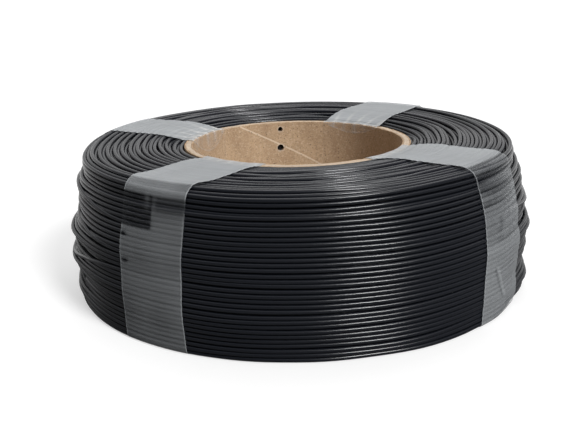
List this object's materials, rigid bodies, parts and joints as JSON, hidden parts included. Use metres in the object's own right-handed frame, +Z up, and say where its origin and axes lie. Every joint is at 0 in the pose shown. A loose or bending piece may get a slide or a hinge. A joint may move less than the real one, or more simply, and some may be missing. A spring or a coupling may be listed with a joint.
{
  "type": "filament spool refill coil",
  "caption": "Ring-shaped coil of black printer filament wound on a short cardboard tube, with no flanges, kept together by clear film straps round the ring.",
  "frame": {"origin": "on the axis of the bore, level with the undersides of the straps that the coil stands on", "axes": "+Z up along the axis of the bore; +X to the right and +Y away, seen from the side where two straps show"},
  "size_m": [0.2, 0.2, 0.0637],
  "materials": {
    "kraft_liner": "matt unbleached kraft paper, with an open spiral joint",
    "core_board": "matt laminated greyboard, cut edge showing at the rims",
    "kraft_cover": "matt unbleached kraft paper",
    "filament": "satin black extruded thermoplastic strand",
    "strap_film": "thin clear hazy film, glossy outside"
  },
  "bodies": {
    "root": {"core_inner_ply": "kraft_liner", "core_board": "core_board", "core_outer_ply": "kraft_cover", "filament_inner_layers": "filament", "filament_outer_layer": "filament", "strap_front_left": "strap_film", "strap_front_right": "strap_film", "strap_rear_right": "strap_film", "strap_rear_left": "strap_film"}
  },
  "joints": []
}
